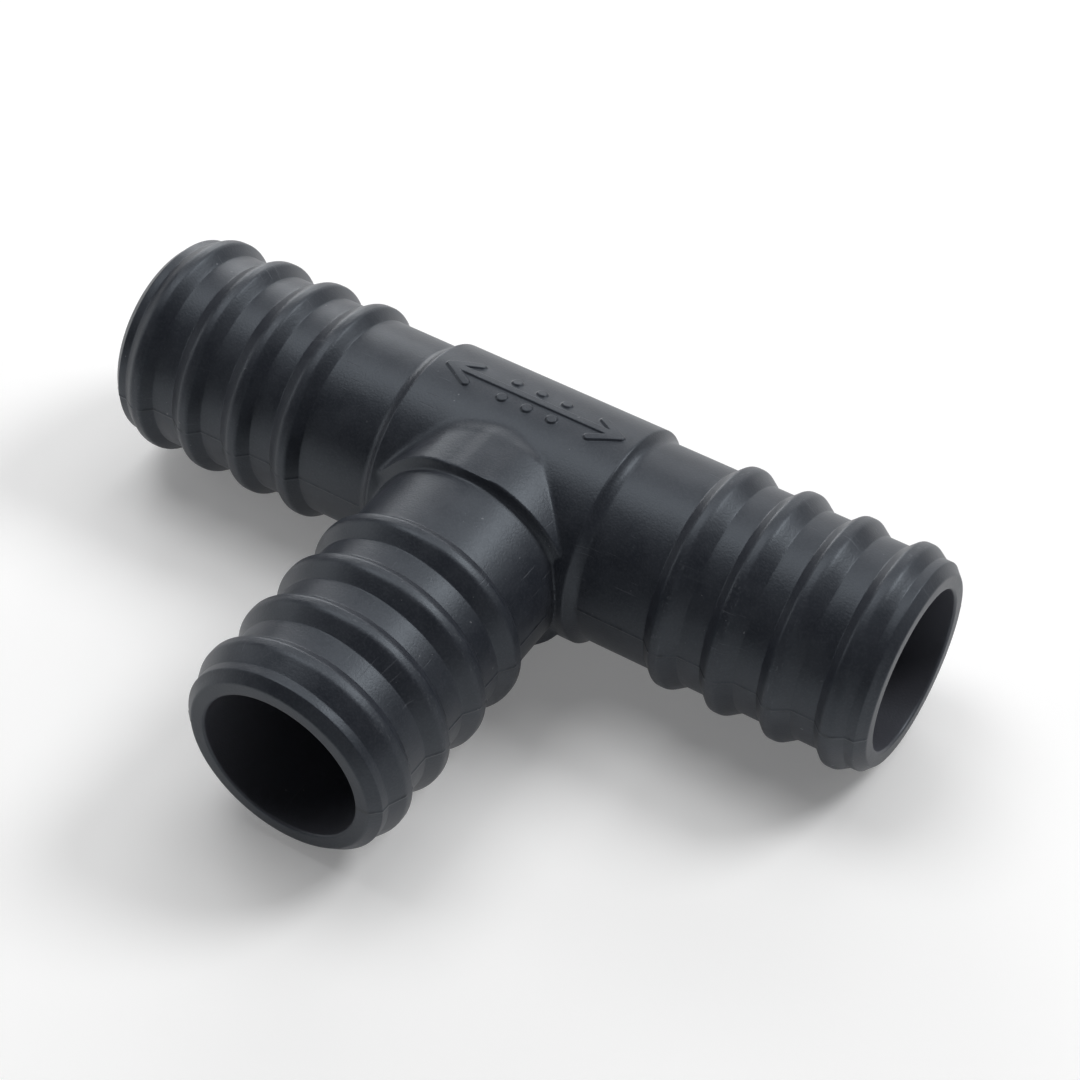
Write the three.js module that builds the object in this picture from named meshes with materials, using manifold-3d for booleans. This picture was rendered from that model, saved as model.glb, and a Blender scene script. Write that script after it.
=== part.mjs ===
// One-inch barbed equal tee for flexible hose. Millimetres, +Z up.
//
// The run lies along X and the branch leaves it towards -Y. The tee lies on its rib crests, so the
// model's origin is on that resting plane, under the middle of the bounding box. Every shape below
// is built about the point where the axes of the run and the branch cross, and the group at the
// end lifts that point to its place.
//
// The real tee is a single moulding. It is modelled as a centre body and three spigots, which meet
// face to face on flat joint planes square to each axis.
import * as THREE from "three";
import { mergeVertices } from "three/addons/utils/BufferGeometryUtils.js";
import Module from "manifold-3d";

// Reach of each leg, from the crossing of the axes to its end face.
const RUN_REACH = 52;
const BRANCH_REACH = 50;

// Waterway and plain stretch of every leg. The hose that slides over it has a 25.4 mm bore.
const BORE_RADIUS = 10;
const LEG_RADIUS = 12.65;

// Barb ribs: each has a ramp that faces the mouth, a land and a steeper back.
const CREST_RADIUS = 13.9;
const RIB_COUNT = 4;
const RIB_PITCH = 7.3;
const RUN_FIRST_CREST = 4.25;
const BRANCH_FIRST_CREST = 4.9;
const LAND_LENGTH = 1.2;
const RAMP_LENGTH = 1.85;
const BACK_LENGTH = 1.3;

// Nose: a short band, a chamfer in two slopes and a flat annular end face.
const NOSE_RADIUS = 12.95;
const CHAMFER_RADIUS = 12.35;
const FACE_RADIUS = 11.8;
const CHAMFER_LENGTH = 1.1;
const BAND_FOOT = 2.2;

// Collar round the crossing, with sloping steps down to the run legs.
const COLLAR_RADIUS = 13.65;
const COLLAR_EDGE = 13.7;
const JOINT_PLANE = 15.2;

// Boss round the root of the branch: it rises out of the collar on a ramp and widens a little
// towards its outer edge. Its top and bottom are cut flat.
const BOSS_ROOT_RADIUS = 12.95;
const BOSS_RAMP_START = 4;
const BOSS_RAMP_END = 5.2;
const BOSS_NEAR_RADIUS = 13.85;
const BOSS_RADIUS = 14;
const BOSS_EDGE = 12;
const BOSS_FOOT = 12.75;
const BOSS_HALF_HEIGHT = 13.55;

const SEGMENTS = 40;
const CUT_MARGIN = 2;

const MOULDED_BLACK = { color: 0x2b2d33, roughness: 0.5, metalness: 0 };

const UP = new THREE.Vector3(0, 0, 1);
const AWAY_LEFT = new THREE.Vector3(-1, 0, 0);
const AWAY_RIGHT = new THREE.Vector3(1, 0, 0);
const AWAY_BRANCH = new THREE.Vector3(0, -1, 0);

const wasm = await Module();
wasm.setup();

// Turns a profile of [radius, height] pairs about an axis that points along a direction.
function turned(profile, direction) {
  const points = profile.map(([radius, height]) => new THREE.Vector2(radius, height));
  const side = new THREE.Vector3().crossVectors(direction, UP);
  const pointed = new THREE.Matrix4().makeBasis(side, direction, UP);
  return new THREE.LatheGeometry(points, SEGMENTS).applyMatrix4(pointed);
}

// The nose, from the foot of its band to the edge of the flat end face.
function noseProfile(reach) {
  return [
    [NOSE_RADIUS, reach - BAND_FOOT],
    [NOSE_RADIUS, reach - CHAMFER_LENGTH],
    [CHAMFER_RADIUS, reach - CHAMFER_LENGTH / 2],
    [FACE_RADIUS, reach],
  ];
}

// One rib, from its foot on the collar side to its foot on the mouth side.
function ribProfile(crest) {
  const landStart = crest - LAND_LENGTH / 2;
  const landEnd = crest + LAND_LENGTH / 2;
  return [
    [LEG_RADIUS, landStart - BACK_LENGTH],
    [CREST_RADIUS, landStart],
    [CREST_RADIUS, landEnd],
    [LEG_RADIUS, landEnd + RAMP_LENGTH],
  ];
}

// The wall of one spigot: up the outside from the joint plane, over the end face and back down the
// bore.
function spigotProfile(reach, firstCrest) {
  const profile = [[BORE_RADIUS, JOINT_PLANE], [LEG_RADIUS, JOINT_PLANE]];
  for (let rib = RIB_COUNT - 1; rib >= 0; rib -= 1) {
    profile.push(...ribProfile(reach - firstCrest - rib * RIB_PITCH));
  }
  profile.pop(); // the first rib's ramp ends at the band of the nose instead
  profile.push(...noseProfile(reach), [BORE_RADIUS, reach], [BORE_RADIUS, JOINT_PLANE]);
  return profile;
}

function solid(geometry) {
  const bare = geometry.clone();
  bare.deleteAttribute("normal");
  bare.deleteAttribute("uv");
  const merged = mergeVertices(bare);
  return new wasm.Manifold(new wasm.Mesh({
    numProp: 3,
    vertProperties: merged.attributes.position.array,
    triVerts: new Uint32Array(merged.index.array),
  }));
}

function geometryOf(manifold) {
  const cut = manifold.getMesh();
  const geometry = new THREE.BufferGeometry();
  geometry.setAttribute("position", new THREE.BufferAttribute(cut.vertProperties, 3));
  geometry.setIndex(new THREE.BufferAttribute(cut.triVerts, 1));
  geometry.computeVertexNormals();
  return geometry;
}

function collar() {
  return solid(turned([
    [0, -JOINT_PLANE],
    [LEG_RADIUS, -JOINT_PLANE],
    [COLLAR_RADIUS, -COLLAR_EDGE],
    [COLLAR_RADIUS, COLLAR_EDGE],
    [LEG_RADIUS, JOINT_PLANE],
    [0, JOINT_PLANE],
  ], AWAY_RIGHT));
}

// The boss, turned about the branch's axis and then cut flat at its top and bottom.
function boss() {
  const round = solid(turned([
    [0, 0],
    [BOSS_ROOT_RADIUS, 0],
    [BOSS_ROOT_RADIUS, BOSS_RAMP_START],
    [BOSS_NEAR_RADIUS, BOSS_RAMP_END],
    [BOSS_RADIUS, BOSS_EDGE],
    [LEG_RADIUS, BOSS_FOOT],
    [LEG_RADIUS, JOINT_PLANE],
    [0, JOINT_PLANE],
  ], AWAY_BRANCH));
  const width = 2 * (BOSS_RADIUS + CUT_MARGIN);
  const slab = solid(new THREE.BoxGeometry(width, 2 * (JOINT_PLANE + CUT_MARGIN), 2 * BOSS_HALF_HEIGHT));
  return round.intersect(slab);
}

// Collar and boss joined, and bored out along the run and the branch.
function centreBody() {
  const runBore = solid(turned(boreProfile(-JOINT_PLANE - CUT_MARGIN), AWAY_RIGHT));
  const branchBore = solid(turned(boreProfile(0), AWAY_BRANCH));
  return geometryOf(collar().add(boss()).subtract(runBore).subtract(branchBore));
}

// A cylinder as wide as the waterway, from a given height out past a joint plane.
function boreProfile(low) {
  const high = JOINT_PLANE + CUT_MARGIN;
  return [[0, low], [BORE_RADIUS, low], [BORE_RADIUS, high], [0, high]];
}

function piece(name, geometry) {
  const mesh = new THREE.Mesh(geometry, new THREE.MeshStandardMaterial(MOULDED_BLACK));
  mesh.name = name;
  return mesh;
}

const tee = new THREE.Group();
tee.add(
  piece("centre_body", centreBody()),
  piece("run_spigot_left", turned(spigotProfile(RUN_REACH, RUN_FIRST_CREST), AWAY_LEFT)),
  piece("run_spigot_right", turned(spigotProfile(RUN_REACH, RUN_FIRST_CREST), AWAY_RIGHT)),
  piece("branch_spigot", turned(spigotProfile(BRANCH_REACH, BRANCH_FIRST_CREST), AWAY_BRANCH)),
);
tee.position.set(0, (BRANCH_REACH - CREST_RADIUS) / 2, CREST_RADIUS);

const group = new THREE.Group();
group.add(tee);
export default group;
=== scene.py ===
"""Looks of a one-inch barbed tee, a single moulding in black plastic.

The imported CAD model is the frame. Each of its four regions is replaced by a fine mesh of the same
size: three turned spigots, and a centre body taken from a smooth implicit surface, with a raised
flow mark on its top. Metres, +Z up.
"""
import math

import bmesh
import bpy
import numpy as np
from mathutils import Matrix, Vector

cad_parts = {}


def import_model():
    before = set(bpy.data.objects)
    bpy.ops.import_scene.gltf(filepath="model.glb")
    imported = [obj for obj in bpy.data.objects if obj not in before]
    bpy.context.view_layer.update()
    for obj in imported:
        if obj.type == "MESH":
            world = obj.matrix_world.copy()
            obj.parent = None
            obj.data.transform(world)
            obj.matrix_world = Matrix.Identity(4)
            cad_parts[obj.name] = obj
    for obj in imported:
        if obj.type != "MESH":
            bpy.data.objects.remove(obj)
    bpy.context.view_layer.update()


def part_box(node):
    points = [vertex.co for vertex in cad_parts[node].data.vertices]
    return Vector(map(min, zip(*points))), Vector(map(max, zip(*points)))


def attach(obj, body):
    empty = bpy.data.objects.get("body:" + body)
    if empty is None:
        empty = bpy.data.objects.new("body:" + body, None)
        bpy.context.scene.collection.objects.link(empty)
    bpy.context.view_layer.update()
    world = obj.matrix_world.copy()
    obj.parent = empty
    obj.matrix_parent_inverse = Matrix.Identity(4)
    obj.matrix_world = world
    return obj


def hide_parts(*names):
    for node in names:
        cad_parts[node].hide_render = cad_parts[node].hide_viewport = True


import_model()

MM = 0.001

# ---------------------------------------------------------------- sizes taken from the frame

RIGHT_LOW, RIGHT_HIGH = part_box("run_spigot_right")
BRANCH_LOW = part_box("branch_spigot")[0]

CREST = (RIGHT_HIGH.z - RIGHT_LOW.z) / 2
CROSSING = Vector((0, (RIGHT_LOW.y + RIGHT_HIGH.y) / 2, (RIGHT_LOW.z + RIGHT_HIGH.z) / 2))
RUN_REACH = RIGHT_HIGH.x
BRANCH_REACH = CROSSING.y - BRANCH_LOW.y
JOINT = RIGHT_LOW.x

# ---------------------------------------------------------------- sizes of the moulding

BORE = 10 * MM
LEG = 12.65 * MM
MID_WALL = (BORE + LEG) / 2

# Nose of a leg: a short band, a chamfer in two slopes and the flat end face.
NOSE = 12.95 * MM
CHAMFER = 12.35 * MM
FACE = 11.8 * MM
CHAMFER_LENGTH = 1.1 * MM
BAND_FOOT = 2.2 * MM
NOSE_TAPER = 0.02 * MM
BAND_FILLET = 0.3 * MM
SHOULDER_FILLET = 0.25 * MM
CHAMFER_FILLET = 0.3 * MM
FACE_OUTER_FILLET = 0.45 * MM
FACE_INNER_FILLET = 0.35 * MM

# Barbs: ramp towards the mouth, land, and a steeper back towards the collar.
RIB_COUNT = 4
RIB_PITCH = 7.3 * MM
RUN_FIRST_CREST = 4.25 * MM
BRANCH_FIRST_CREST = 4.9 * MM
LAND = 1.2 * MM
RAMP = 1.85 * MM
BACK = 1.3 * MM
BACK_FOOT_FILLET = 0.25 * MM
BACK_CREST_FILLET = 0.75 * MM
RAMP_CREST_FILLET = 1.3 * MM
RAMP_FOOT_FILLET = 0.3 * MM

# Collar along the run, and the concave step from it down to a leg.
COLLAR = 13.65 * MM
COLLAR_EDGE = 13.7 * MM
STEP_BLEND = 0.16

# Boss round the root of the branch: it rises out of the collar on a ramp, and its top and bottom
# are cut flat. The flats climb a little, from FLAT_NEAR where the ramp ends to FLAT_FAR at the edge.
BOSS_NEAR = 13.85 * MM
BOSS = 13.95 * MM
BOSS_RAMP_START = 4 * MM
BOSS_RAMP_END = 5.2 * MM
BOSS_RAMP_RADIUS = 13.05 * MM
BOSS_EDGE = 12 * MM
BOSS_FOOT = 12.8 * MM
FLAT_NEAR = 13.45 * MM
FLAT_FAR = 13.58 * MM

# Fillets of the centre body. At the flats and at the branch's root they are softer on the left.
FLAT_BLEND_LEFT = 1.3 * MM
FLAT_BLEND_RIGHT = 0.15 * MM
FLAT_BLEND_FROM = -3 * MM
FLAT_BLEND_WIDTH = 3 * MM
RAMP_BLEND = 0.5 * MM
ROOT_BLEND_LEFT = 0.9 * MM
ROOT_BLEND_RIGHT = 0.2 * MM
ROOT_BLEND_WIDTH = 6 * MM
ROOT_BLEND_FADE = 2 * MM
ROOT_BLEND_LEAST = 0.01 * MM
BORE_BLEND = 0.5 * MM

# Mould line along both sides of a leg: a ridge, and the closer steps that the mesh has beside it.
RIDGE_HEIGHT = 0.07 * MM
RIDGE_WIDTH = 0.16 * MM
RIDGE_OFFSETS = [offset * MM for offset in (0.05, 0.1, 0.16, 0.24, 0.34)]

# Raised flow mark: an arrow with a head at each end, and round pips beside its shaft.
MARK_RELIEF = 0.25 * MM
MARK_HALF_LENGTH = 11.6 * MM
MARK_HALF_HEIGHT = 2.45 * MM
MARK_HEAD_LENGTH = 3.2 * MM
MARK_STROKE = 1.05 * MM
MARK_PIP_SPACING = 3.4 * MM
MARK_OFFSET = 1.9 * MM
MARK_EDGE = 0.14 * MM
MARK_PIP_RADIUS = 0.65 * MARK_STROKE
MARK_MARGIN = 0.8 * MM

# Fineness of the meshes.
STEPS_ROUND = 180
LONGEST_STEP = 0.45 * MM
ARC_STEP = math.radians(9)
SHARP_ANGLE = math.radians(50)
OUTER_NET_STEP = 0.2 * MM
BORE_NET_STEP = 0.45 * MM
NET_MARGIN = 1.2 * MM
GRADIENT_STEP = 0.01 * MM
LEAST_GRADIENT = 0.05
PULL_ROUNDS = 4
RELAX_ROUNDS = 4
RELAX_SHARE = 0.6
CUT_TOLERANCE = 0.002 * MM
RIM_TOLERANCE = 0.01 * MM

LEFT = Vector((-1, 0, 0))
RIGHT = Vector((1, 0, 0))
AHEAD = Vector((0, -1, 0))
UP = Vector((0, 0, 1))

# ---------------------------------------------------------------- small helpers


def smooth(value):
    """0 below 0, 1 above 1, and an S curve between."""
    t = np.clip(value, 0, 1)
    return t * t * (3 - 2 * t)


def soft_least(a, b, blend):
    """The lesser of two values, with a fillet where they meet."""
    near = np.clip(blend - np.abs(a - b), 0, None)
    return np.minimum(a, b) - near * near / (4 * blend)


def soft_most(a, b, blend):
    """The greater of two values, rounded off where they meet."""
    return -soft_least(-a, -b, blend)


def rounded(corners):
    """A polyline whose corners, given as (along, radius, fillet), are replaced by arcs."""
    points = []
    for index, (along, radius, fillet) in enumerate(corners):
        here = Vector((along, radius))
        if fillet == 0:
            points.append(here)
            continue
        before = (Vector(corners[index - 1][:2]) - here).normalized()
        after = (Vector(corners[index + 1][:2]) - here).normalized()
        half = before.angle(after) / 2
        reach = fillet / math.tan(half)
        centre = here + (before + after).normalized() * (fillet / math.sin(half))
        start = here + before * reach - centre
        turn = (here + after * reach - centre).angle_signed(start)
        steps = max(2, round(abs(turn) / ARC_STEP))
        for step in range(steps + 1):
            points.append(centre + Matrix.Rotation(turn * step / steps, 2) @ start)
    return points


def refined(points, longest):
    """The same polyline with long stretches cut into equal steps."""
    fine = [points[0]]
    for start, end in zip(points, points[1:]):
        steps = max(1, math.ceil((end - start).length / longest))
        fine.extend(start.lerp(end, (step + 1) / steps) for step in range(steps))
    return fine


def new_piece(name, mesh):
    """An object for a mesh, shaded smooth except along its sharp edges."""
    piece = bpy.data.objects.new(name, mesh)
    bpy.context.scene.collection.objects.link(piece)
    mesh.shade_smooth()
    mesh.set_sharp_from_angle(angle=SHARP_ANGLE)
    return piece


# ---------------------------------------------------------------- spigots


def rib_corners(crest):
    """One barb, from its foot on the collar side to its foot on the mouth side."""
    return [
        (crest - LAND / 2 - BACK, LEG, BACK_FOOT_FILLET),
        (crest - LAND / 2, CREST, BACK_CREST_FILLET),
        (crest + LAND / 2, CREST, RAMP_CREST_FILLET),
        (crest + LAND / 2 + RAMP, LEG, RAMP_FOOT_FILLET),
    ]


def nose_corners(reach):
    """The nose, from where the first barb's ramp comes down to its band, to the waterway's edge."""
    return [
        (reach - BAND_FOOT, NOSE, BAND_FILLET),
        (reach - CHAMFER_LENGTH, NOSE - NOSE_TAPER, SHOULDER_FILLET),
        (reach - CHAMFER_LENGTH / 2, CHAMFER, CHAMFER_FILLET),
        (reach, FACE, FACE_OUTER_FILLET),
        (reach, BORE, FACE_INNER_FILLET),
    ]


def spigot_outline(reach, first_crest):
    """(along, radius) points: out along the barbs, over the end face and back down the bore."""
    corners = [(JOINT, BORE, 0), (JOINT, LEG, 0)]
    for rib in reversed(range(RIB_COUNT)):
        corners += rib_corners(reach - first_crest - rib * RIB_PITCH)
    corners.pop()  # the first barb's ramp ends at the band of the nose instead
    corners += nose_corners(reach)
    corners.append((JOINT, BORE, 0))
    return refined(rounded(corners), LONGEST_STEP)[:-1]


def angles_round():
    """Even steps round a leg, with closer ones at the two mould lines."""
    even = [2 * math.pi * step / STEPS_ROUND for step in range(STEPS_ROUND)]
    near = [side + sign * offset / LEG
            for side in (0, math.pi) for sign in (-1, 1) for offset in RIDGE_OFFSETS]
    return sorted(set(round(angle % (2 * math.pi), 7) for angle in even + near))


def ridge(arc):
    """Height of the mould line at a distance round the leg from it."""
    return RIDGE_HEIGHT * math.exp(-(arc / RIDGE_WIDTH) ** 2)


def spigot(name, direction, reach, first_crest):
    """A leg turned about its axis, with the mould line raised along both its sides."""
    outline = spigot_outline(reach, first_crest)
    side = direction.cross(UP)
    angles = angles_round()
    vertices = []
    for along, radius in outline:
        outside = radius > MID_WALL and along > JOINT
        for angle in angles:
            proud = ridge(radius * math.asin(math.sin(angle))) if outside else 0
            grown = min(radius + proud, CREST)
            place = CROSSING + direction * along + side * (grown * math.cos(angle))
            vertices.append(place + UP * (grown * math.sin(angle)))
    mesh = bpy.data.meshes.new(name)
    mesh.from_pydata(vertices, [], ring_faces(len(outline), len(angles)))
    face_outwards(mesh)
    return new_piece(name, mesh)


def ring_faces(rings, steps):
    """Quads between rings of vertices that close on themselves both ways."""
    faces = []
    for ring in range(rings):
        following = (ring + 1) % rings
        for step in range(steps):
            beside = (step + 1) % steps
            faces.append((ring * steps + step, ring * steps + beside,
                          following * steps + beside, following * steps + step))
    return faces


def face_outwards(mesh):
    work = bmesh.new()
    work.from_mesh(mesh)
    bmesh.ops.recalc_face_normals(work, faces=work.faces)
    work.to_mesh(mesh)
    work.free()


# ---------------------------------------------------------------- centre body as a field


def stepped(full, along, edge, foot):
    """Radius along an axis: full as far as an edge, then a concave step down to the plain leg."""
    left = np.clip((foot - along) / (foot - edge), 0, None)
    return LEG + (full - LEG) * soft_least(1, left ** 2, STEP_BLEND)


def collar_distance(x, y, z):
    """How far a point is outside the collar and the roots of the run's legs, across the run."""
    return np.hypot(y, z) - stepped(COLLAR, np.abs(x), COLLAR_EDGE, JOINT)


def boss_distance(x, y, z):
    """About how far a point is outside the boss, its ramp and the root of the branch."""
    out = -y
    share = (out - BOSS_RAMP_END) / (BOSS_EDGE - BOSS_RAMP_END)
    full = BOSS_NEAR + (BOSS - BOSS_NEAR) * share
    radius = np.hypot(x, z)
    boss = radius - stepped(full, out, BOSS_EDGE, BOSS_FOOT)
    flat = np.abs(z) - FLAT_NEAR - (FLAT_FAR - FLAT_NEAR) * share
    steepness = (BOSS_NEAR - BOSS_RAMP_RADIUS) / (BOSS_RAMP_END - BOSS_RAMP_START)
    ramp = radius - BOSS_RAMP_RADIUS - steepness * (out - BOSS_RAMP_START)
    side = smooth((x - FLAT_BLEND_FROM) / FLAT_BLEND_WIDTH)
    flat_blend = FLAT_BLEND_LEFT + (FLAT_BLEND_RIGHT - FLAT_BLEND_LEFT) * side
    boss = soft_most(boss, flat, flat_blend)
    boss = soft_most(boss, ramp / math.hypot(1, steepness), RAMP_BLEND)
    return np.maximum(boss, y)


def outer_distance(x, y, z):
    """About how far a point is outside the collar, boss and root of the branch."""
    side = smooth(x / ROOT_BLEND_WIDTH)
    blend = ROOT_BLEND_LEFT + (ROOT_BLEND_RIGHT - ROOT_BLEND_LEFT) * side
    blend = blend * smooth((JOINT + y) / ROOT_BLEND_FADE) + ROOT_BLEND_LEAST
    return soft_least(collar_distance(x, y, z), boss_distance(x, y, z), blend)


def bore_distance(x, y, z):
    """About how far a point is outside the waterways."""
    run = np.hypot(y, z) - BORE
    branch = np.maximum(np.hypot(x, z) - BORE, y)
    return soft_least(run, branch, BORE_BLEND)


# ---------------------------------------------------------------- meshing a field


def slope(field, points):
    """Gradient of a field at points, by central differences."""
    slopes = []
    for axis in range(3):
        offset = np.zeros(3)
        offset[axis] = GRADIENT_STEP
        ahead = field(*(points + offset).T)
        behind = field(*(points - offset).T)
        slopes.append((ahead - behind) / (2 * GRADIENT_STEP))
    return np.stack(slopes, 1)


def pulled(field, points, rounds):
    """Points moved on to the surface where the field is zero."""
    for _ in range(rounds):
        gradient = slope(field, points)
        size = np.maximum((gradient ** 2).sum(1), LEAST_GRADIENT)
        points = points - gradient * (field(*points.T) / size)[:, None]
    return points


def surface_net(field, low, high, step):
    """Quads over the zero surface of a field, with one vertex in each grid cell that it crosses."""
    counts = [math.ceil((h - l) / step) + 1 for l, h in zip(low, high)]
    axes = [l + step * np.arange(count) for l, count in zip(low, counts)]
    inside = field(*np.meshgrid(*axes, indexing="ij")) < 0
    cells = np.zeros([count - 1 for count in counts], int)
    for i in (0, 1):
        for j in (0, 1):
            for k in (0, 1):
                cells += inside[i:counts[0] - 1 + i, j:counts[1] - 1 + j, k:counts[2] - 1 + k]
    crossed = (cells > 0) & (cells < 8)
    number = np.full(cells.shape, -1)
    number[crossed] = np.arange(crossed.sum())
    points = np.array(low) + (np.argwhere(crossed) + 0.5) * step
    quads = [quads_across(inside, number, axis) for axis in range(3)]
    return points, np.concatenate(quads)


def quads_across(inside, number, axis):
    """One quad round every grid edge along an axis whose two ends are on different sides."""
    here = np.moveaxis(inside, axis, 0)
    ids = np.moveaxis(number, axis, 0)
    a, b, c = np.argwhere(here[1:] != here[:-1]).T
    keep = (b > 0) & (c > 0) & (b < ids.shape[1]) & (c < ids.shape[2])
    a, b, c = a[keep], b[keep], c[keep]
    quads = np.stack([ids[a, b - 1, c - 1], ids[a, b, c - 1], ids[a, b, c], ids[a, b - 1, c]], 1)
    return quads[(quads >= 0).all(1)]


def relaxed(field, points, quads, rounds):
    """Evens out the net: each point moves towards its neighbours, then back on to the surface."""
    edges = np.concatenate([quads[:, [0, 1]], quads[:, [1, 2]], quads[:, [2, 3]], quads[:, [3, 0]]])
    count = np.bincount(edges.ravel(), minlength=len(points))[:, None]
    for _ in range(rounds):
        total = np.zeros_like(points)
        np.add.at(total, edges[:, 0], points[edges[:, 1]])
        np.add.at(total, edges[:, 1], points[edges[:, 0]])
        points = points * (1 - RELAX_SHARE) + total / count * RELAX_SHARE
        points = pulled(field, points, 2)
    return points


def net_surface(work, field, step):
    """Adds a field's surface to a bmesh, cut off square at the three joint planes."""
    low = (-JOINT - NET_MARGIN, -JOINT - NET_MARGIN, -BOSS - NET_MARGIN)
    high = (JOINT + NET_MARGIN, COLLAR + NET_MARGIN, BOSS + NET_MARGIN)
    points, quads = surface_net(field, low, high, step)
    points = relaxed(field, pulled(field, points, PULL_ROUNDS), quads, RELAX_ROUNDS)
    part = bmesh.new()
    made = [part.verts.new(point) for point in points]
    for quad in quads:
        part.faces.new([made[index] for index in quad])
    for normal in (RIGHT, LEFT, AHEAD):
        geometry = part.verts[:] + part.edges[:] + part.faces[:]
        bmesh.ops.bisect_plane(part, geom=geometry, dist=CUT_TOLERANCE, plane_co=normal * JOINT,
                               plane_no=normal, clear_outer=True)
    mesh = bpy.data.meshes.new("part")
    part.to_mesh(mesh)
    part.free()
    work.from_mesh(mesh)
    bpy.data.meshes.remove(mesh)


def close_ends(work):
    """Fills the ring between the waterway and the outside at each joint plane."""
    for normal in (RIGHT, LEFT, AHEAD):
        rim = [edge for edge in work.edges if edge.is_boundary
               and all(abs(vert.co.dot(normal) - JOINT) < RIM_TOLERANCE for vert in edge.verts)]
        bmesh.ops.triangle_fill(work, use_beauty=True, edges=rim, normal=normal)


# ---------------------------------------------------------------- flow mark


def stroke_distance(along, across, start, end):
    """Distance outside a straight stroke with round ends."""
    run, rise = end[0] - start[0], end[1] - start[1]
    beyond, above = along - start[0], across - start[1]
    share = (beyond * run + above * rise) / (run * run + rise * rise)
    share = min(max(share, 0), 1)
    return math.hypot(beyond - run * share, above - rise * share) - MARK_STROKE / 2


def mark_distance(along, across):
    """Distance outside the flow mark, on the collar laid flat."""
    along, across = abs(along), abs(across)
    tip = (MARK_HALF_LENGTH, 0)
    barb = (MARK_HALF_LENGTH - MARK_HEAD_LENGTH, MARK_HALF_HEIGHT - MARK_STROKE / 2)
    shaft = stroke_distance(along, across, (0, 0), tip)
    head = stroke_distance(along, across, barb, tip)
    above = across - (MARK_HALF_HEIGHT - MARK_PIP_RADIUS)
    pip = min(math.hypot(along - place, above) for place in (0, MARK_PIP_SPACING)) - MARK_PIP_RADIUS
    return min(shaft, head, pip)


def laid_flat(point):
    """Where a point on the collar is, along and across the flow mark."""
    return point.x, COLLAR * math.atan2(point.y, point.z) - MARK_OFFSET


def near_mark(face):
    """Whether a face lies on the outside of the collar, on or near the flow mark."""
    along, across = laid_flat(face.calc_center_median())
    return (face.verts[0].co.yz.length > MID_WALL
            and abs(along) < MARK_HALF_LENGTH + MARK_MARGIN
            and abs(across) < MARK_HALF_HEIGHT + MARK_MARGIN)


def raise_mark(work):
    """Refines the collar's mesh where the flow mark is and lifts the mark out of it."""
    edges = dict.fromkeys(edge for face in work.faces if near_mark(face) for edge in face.edges)
    bmesh.ops.subdivide_edges(work, edges=list(edges), cuts=2, use_grid_fill=True)
    for vert in work.verts:
        if vert.co.yz.length < MID_WALL or vert.co.z < 0:
            continue
        distance = mark_distance(*laid_flat(vert.co))
        if distance < MARK_EDGE:
            lift = MARK_RELIEF * float(smooth(0.5 - distance / (2 * MARK_EDGE)))
            vert.co += Vector((0, vert.co.y, vert.co.z)).normalized() * lift


def centre_body():
    """Collar and boss with the waterways through them, closed at the joint planes."""
    work = bmesh.new()
    net_surface(work, outer_distance, OUTER_NET_STEP)
    net_surface(work, bore_distance, BORE_NET_STEP)
    close_ends(work)
    raise_mark(work)
    bmesh.ops.translate(work, verts=work.verts, vec=CROSSING)
    bmesh.ops.recalc_face_normals(work, faces=work.faces)
    mesh = bpy.data.meshes.new("tee_centre_body")
    work.to_mesh(mesh)
    work.free()
    return new_piece("tee_centre_body", mesh)


# ---------------------------------------------------------------- material

DARK_PLASTIC = (0.017, 0.0195, 0.0265, 1)
PALE_PLASTIC = (0.026, 0.029, 0.037, 1)
GRAIN_COLOUR = (0.045, 0.048, 0.058, 1)
# Painted light: the waterways get a lighter base colour that stands in for light reaching inside them.
BORE_PAINTED_LIGHT = (0.065, 0.067, 0.08, 1)
SCRATCH_COLOUR = (0.12, 0.125, 0.14, 1)
WORN_COLOUR = (0.15, 0.155, 0.17, 1)
SPECK_COLOUR = (0.2, 0.205, 0.22, 1)
PARTING_COLOUR = (0.006, 0.006, 0.009, 1)
SHEEN_TINT = (0.81, 0.905, 1, 1)
LEAST_ROUGHNESS = 0.31

# Keeps the noise of one leg apart from that of the next.
LEG_OFFSET = 20.0

# Where a mix node has its sockets for colours.
MIX_FIRST_COLOUR = 6
MIX_SECOND_COLOUR = 7
MIX_COLOUR_RESULT = 2


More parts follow.
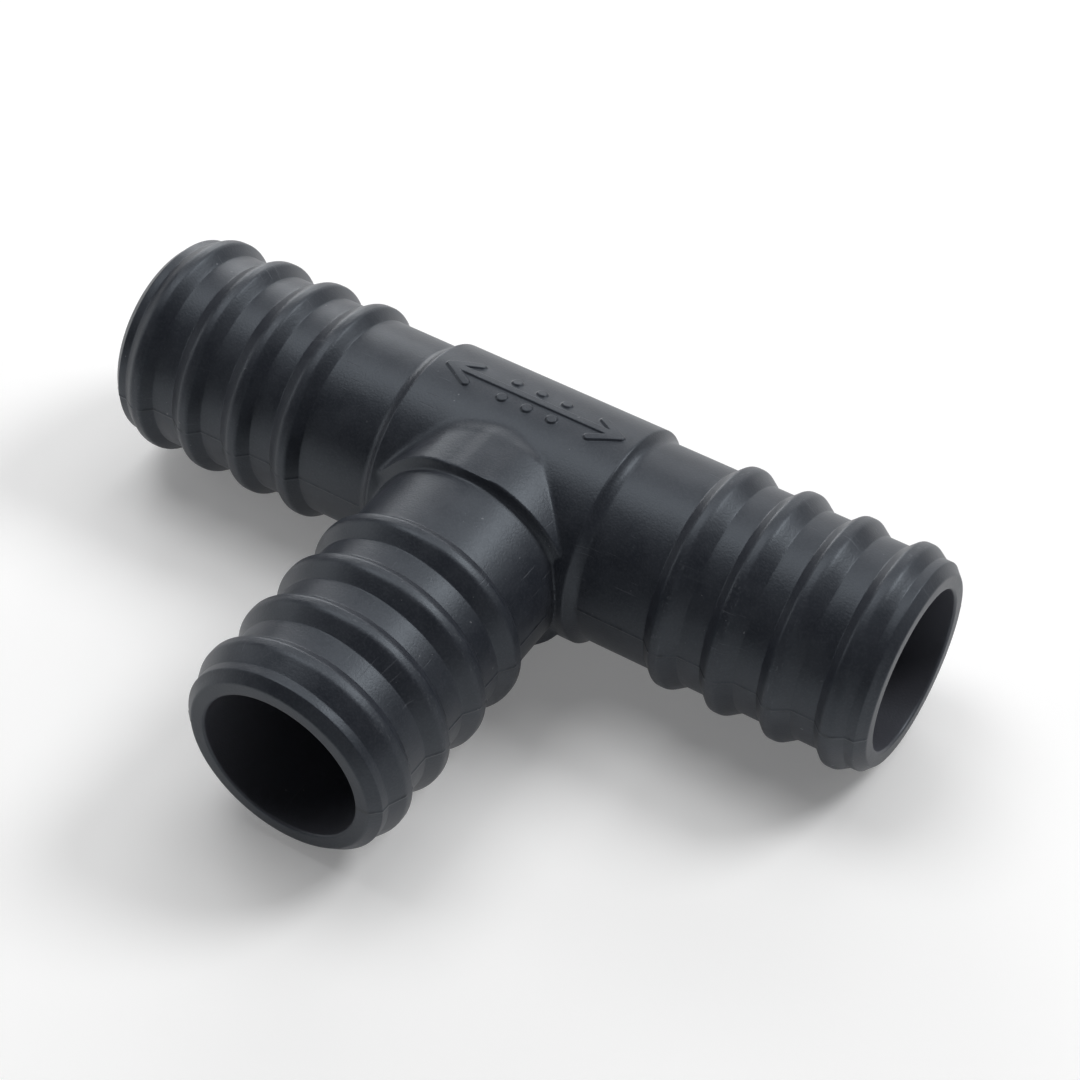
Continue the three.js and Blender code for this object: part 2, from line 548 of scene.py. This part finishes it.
class Nodes:
    """Builds a material's node tree: most methods add nodes and give back the last one's output."""

    def __init__(self, name):
        self.material = bpy.data.materials.new(name)
        self.material.use_nodes = True
        self.tree = self.material.node_tree
        self.shader = self.tree.nodes["Principled BSDF"]

    def set(self, node, key, value):
        """Links an output to a node's input, or sets the input to a plain value."""
        if isinstance(value, bpy.types.NodeSocket):
            self.tree.links.new(value, node.inputs[key])
        else:
            node.inputs[key].default_value = value

    def add(self, kind, inputs, **settings):
        node = self.tree.nodes.new(kind)
        for name, value in settings.items():
            setattr(node, name, value)
        for key, value in inputs.items():
            self.set(node, key, value)
        return node.outputs[0]

    def math(self, operation, a, b=0.0):
        return self.add("ShaderNodeMath", {0: a, 1: b}, operation=operation)

    def total(self, *values):
        result = values[0]
        for value in values[1:]:
            result = self.math("ADD", result, value)
        return result

    def times(self, *values):
        result = values[0]
        for value in values[1:]:
            result = self.math("MULTIPLY", result, value)
        return result

    def between(self, value, low, high):
        """0 where a value is below low, 1 above high."""
        inputs = {"Value": value, "From Min": low, "From Max": high}
        return self.add("ShaderNodeMapRange", inputs, interpolation_type="SMOOTHSTEP")

    def scaled(self, vector, factors):
        return self.add("ShaderNodeVectorMath", {0: vector, 1: factors}, operation="MULTIPLY")

    def noise(self, vector, scale, detail):
        """Noise about 0.5, with features about 1 / scale millimetres apart."""
        return self.add("ShaderNodeTexNoise", {"Vector": vector, "Scale": scale, "Detail": detail})

    def joined(self, x, y, z):
        return self.add("ShaderNodeCombineXYZ", {0: x, 1: y, 2: z})

    def parts(self, vector):
        """The three outputs x, y and z."""
        node = self.tree.nodes.new("ShaderNodeSeparateXYZ")
        self.set(node, 0, vector)
        return node.outputs

    def place(self):
        """Position in millimetres about the crossing."""
        here = self.tree.nodes.new("ShaderNodeTexCoord").outputs["Object"]
        centred = self.add("ShaderNodeVectorMath", {0: here, 1: CROSSING}, operation="SUBTRACT")
        return self.scaled(centred, (1 / MM,) * 3)

    def colour(self, share, low, high):
        """A colour a share of the way from one to another."""
        node = self.tree.nodes.new("ShaderNodeMix")
        node.data_type = "RGBA"
        self.set(node, "Factor", share)
        self.set(node, MIX_FIRST_COLOUR, low)
        self.set(node, MIX_SECOND_COLOUR, high)
        return node.outputs[MIX_COLOUR_RESULT]


def unrolled(nodes, place):
    """Place on a leg laid flat, as a vector (round, along, which leg), then how far along it is and
    how far from the leg's axis. Millimetres.
    """
    x, y, z = nodes.parts(place)
    far = nodes.math("ABSOLUTE", x)
    out = nodes.times(y, -1.0)
    on_branch = nodes.math("GREATER_THAN", out, far)
    on_run = nodes.math("SUBTRACT", 1.0, on_branch)
    round_run = nodes.math("ARCTAN2", y, z)
    round_branch = nodes.math("ARCTAN2", x, z)
    angle = nodes.total(nodes.times(round_run, on_run), nodes.times(round_branch, on_branch))
    along = nodes.math("MAXIMUM", far, out)
    on_right = nodes.math("GREATER_THAN", x, 0.0)
    leg = nodes.total(nodes.times(on_branch, 2 * LEG_OFFSET), nodes.times(on_right, LEG_OFFSET))
    flat = nodes.joined(nodes.times(angle, LEG / MM), along, leg)

    # Behind the run's axis there is no branch, so only the run counts there.
    behind = nodes.math("GREATER_THAN", y, 0.0)
    from_branch = nodes.total(far, nodes.times(behind, JOINT / MM))
    across = nodes.math("MINIMUM", from_branch, nodes.math("ABSOLUTE", y))
    squares = nodes.total(nodes.math("POWER", across, 2.0), nodes.math("POWER", z, 2.0))
    return flat, along, nodes.math("SQRT", squares)


def scratched(nodes, flat, patches):
    """Fine scratches along the legs, in patches."""
    hairs = nodes.noise(nodes.scaled(flat, (3.2, 0.16, 1.0)), 1.0, 2.0)
    return nodes.times(nodes.between(hairs, 0.66, 0.72), patches)


def rubbed(nodes, place, along, radius, streaks):
    """Broken spots on the crests of the barbs, where hoses and other fittings rub."""
    on_leg = nodes.between(along, JOINT / MM, JOINT / MM + 1)
    crests = nodes.between(radius, CREST / MM - 0.2, CREST / MM)
    dots = nodes.between(nodes.noise(place, 2.1, 2.0), 0.5, 0.6)
    areas = nodes.between(nodes.noise(place, 0.07, 1.0), 0.5, 0.6)
    return nodes.times(nodes.between(streaks, 0.5, 0.62), dots, crests, on_leg, areas)


def parting_line(nodes, place, flat, outside):
    """Dark broken stretches of the mould line."""
    height = nodes.math("ABSOLUTE", nodes.parts(place)[2])
    line = nodes.math("SUBTRACT", 1.0, nodes.between(height, 0.15, 0.4))
    stretches = nodes.between(nodes.noise(flat, 0.55, 3.0), 0.5, 0.62)
    return nodes.times(stretches, line, outside)


def black_plastic():
    """Satin moulded plastic: mottled, finely grained, scratched along the legs, worn on the crests."""
    nodes = Nodes("moulded_black")
    place = nodes.place()
    flat, along, radius = unrolled(nodes, place)
    outside = nodes.between(radius, BORE / MM, BORE / MM + 0.2)
    patches = nodes.between(nodes.noise(place, 0.09, 1.0), 0.5, 0.62)

    mottle = nodes.noise(place, 0.32, 4.0)
    grain = nodes.noise(place, 3.6, 3.0)
    waves = nodes.noise(place, 0.13, 1.0)
    streaks = nodes.noise(nodes.scaled(flat, (0.5, 3.0, 1.0)), 1.0, 4.0)
    scratches = scratched(nodes, flat, patches)
    worn = rubbed(nodes, place, along, radius, streaks)
    specks = nodes.times(nodes.between(nodes.noise(place, 1.7, 1.0), 0.77, 0.79), patches)
    parting = parting_line(nodes, place, flat, outside)

    base = nodes.colour(nodes.between(mottle, 0.3, 0.7), DARK_PLASTIC, PALE_PLASTIC)
    base = nodes.colour(nodes.times(nodes.between(grain, 0.45, 0.65), 0.3), base, GRAIN_COLOUR)
    # Painted light: inside the waterways the base is lifted to a lighter tone in place of light falling
    # there.
    base = nodes.colour(outside, BORE_PAINTED_LIGHT, base)
    base = nodes.colour(nodes.times(scratches, 0.3), base, SCRATCH_COLOUR)
    base = nodes.colour(nodes.times(worn, 0.2), base, WORN_COLOUR)
    base = nodes.colour(nodes.times(specks, 0.5), base, SPECK_COLOUR)
    base = nodes.colour(nodes.times(parting, 0.7), base, PARTING_COLOUR)
    nodes.set(nodes.shader, "Base Color", base)
    nodes.set(nodes.shader, "Specular Tint", SHEEN_TINT)

    rough = nodes.total(LEAST_ROUGHNESS, nodes.times(mottle, 0.12), nodes.times(grain, 0.1),
                        nodes.times(scratches, 0.1))
    nodes.set(nodes.shader, "Roughness", rough)

    relief = nodes.total(nodes.times(grain, 0.022), nodes.times(mottle, 0.035), nodes.times(waves, 0.08),
                         nodes.times(scratches, -0.008), nodes.times(streaks, 0.006))
    bump = nodes.add("ShaderNodeBump", {"Height": relief, "Distance": MM, "Strength": 1.0})
    nodes.set(nodes.shader, "Normal", bump)
    return nodes.material


# ---------------------------------------------------------------- the tee

PIECES = {
    "centre_body": centre_body(),
    "run_spigot_left": spigot("tee_spigot_left", LEFT, RUN_REACH, RUN_FIRST_CREST),
    "run_spigot_right": spigot("tee_spigot_right", RIGHT, RUN_REACH, RUN_FIRST_CREST),
    "branch_spigot": spigot("tee_spigot_branch", AHEAD, BRANCH_REACH, BRANCH_FIRST_CREST),
}
PLASTIC = black_plastic()
for node, piece in PIECES.items():
    piece.data.materials.append(PLASTIC)
    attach(piece, "root")
    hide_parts(node)

# ---------------------------------------------------------------- floor, light and camera

FLOOR_HALF_SIZE = 3
FLOOR_COLOUR = (0.9, 0.9, 0.9, 1)
FLOOR_ROUGHNESS = 0.9
FLOOR_GLOW = 0.16
SKY_STRENGTH = 0.05
WHITE = (1, 1, 1, 1)

# Softboxes a metre from the tee: name, azimuth, elevation, watts and diameter in metres.
WIDE = 0.55
NARROW = 0.36
SOFTBOXES = (
    ("back_high", 178, 66, 1.8, WIDE),
    ("left_high", 254, 66, 3.0, WIDE),
    ("back_left_low", 222, 14, 3.0, WIDE),
    ("back_right", 140, 45, 4.2, NARROW),
    ("right", 120, 30, 0.5, WIDE),
    ("back", 196, 28, 0.95, WIDE),
    ("back_low", 180, 12, 0.8, WIDE),
    ("left_low", 285, 20, 1.2, WIDE),
    ("front_fill", 20, 25, 0.3, WIDE),
)

CAMERA_AZIMUTH = 30.98
CAMERA_ELEVATION = 46.23
CAMERA_ROLL = math.radians(1.445)
CAMERA_DISTANCE = 320.3 * MM
CAMERA_RIGHT = 1.86 * MM
CAMERA_DOWN = 5.68 * MM
LENS_LENGTH = 89.44
SENSOR_WIDTH = 36


def floor():
    material = bpy.data.materials.new("pale_floor")
    material.use_nodes = True
    shader = material.node_tree.nodes["Principled BSDF"]
    shader.inputs["Base Color"].default_value = FLOOR_COLOUR
    shader.inputs["Roughness"].default_value = FLOOR_ROUGHNESS
    shader.inputs["Emission Color"].default_value = WHITE
    shader.inputs["Emission Strength"].default_value = FLOOR_GLOW
    work = bmesh.new()
    bmesh.ops.create_grid(work, x_segments=1, y_segments=1, size=FLOOR_HALF_SIZE)
    mesh = bpy.data.meshes.new("floor")
    work.to_mesh(mesh)
    work.free()
    mesh.materials.append(material)
    plane = bpy.data.objects.new("floor", mesh)
    bpy.context.scene.collection.objects.link(plane)


def towards(azimuth, elevation):
    """Unit vector towards a place round the tee: 0 is the branch's side, 90 the right of the run."""
    turn, rise = math.radians(azimuth), math.radians(elevation)
    return Vector((math.sin(turn) * math.cos(rise), -math.cos(turn) * math.cos(rise), math.sin(rise)))


def softbox(name, azimuth, elevation, power, size):
    light = bpy.data.lights.new(name, "AREA")
    light.shape = "DISK"
    light.size = size
    light.energy = power
    lamp = bpy.data.objects.new(name, light)
    lamp.location = CROSSING + towards(azimuth, elevation)
    lamp.rotation_euler = towards(azimuth, elevation).to_track_quat("Z", "Y").to_euler()
    bpy.context.scene.collection.objects.link(lamp)


def camera():
    back = towards(CAMERA_AZIMUTH, CAMERA_ELEVATION)
    level = (-back).cross(UP).normalized()
    upright = level.cross(-back)
    right = math.cos(CAMERA_ROLL) * level + math.sin(CAMERA_ROLL) * upright
    up = math.cos(CAMERA_ROLL) * upright - math.sin(CAMERA_ROLL) * level
    place = CROSSING + back * CAMERA_DISTANCE + right * CAMERA_RIGHT - up * CAMERA_DOWN
    lens = bpy.data.cameras.new("camera")
    lens.lens = LENS_LENGTH
    lens.sensor_width = SENSOR_WIDTH
    eye = bpy.data.objects.new("camera", lens)
    eye.matrix_world = Matrix.Translation(place) @ Matrix((right, up, back)).transposed().to_4x4()
    bpy.context.scene.collection.objects.link(eye)
    bpy.context.scene.camera = eye


def world():
    sky = bpy.data.worlds.new("studio")
    sky.use_nodes = True
    background = sky.node_tree.nodes["Background"]
    background.inputs["Color"].default_value = WHITE
    background.inputs["Strength"].default_value = SKY_STRENGTH
    bpy.context.scene.world = sky
    bpy.context.scene.view_settings.view_transform = "Standard"


floor()
world()
for box in SOFTBOXES:
    softbox(*box)
camera()

bpy.context.view_layer.update()
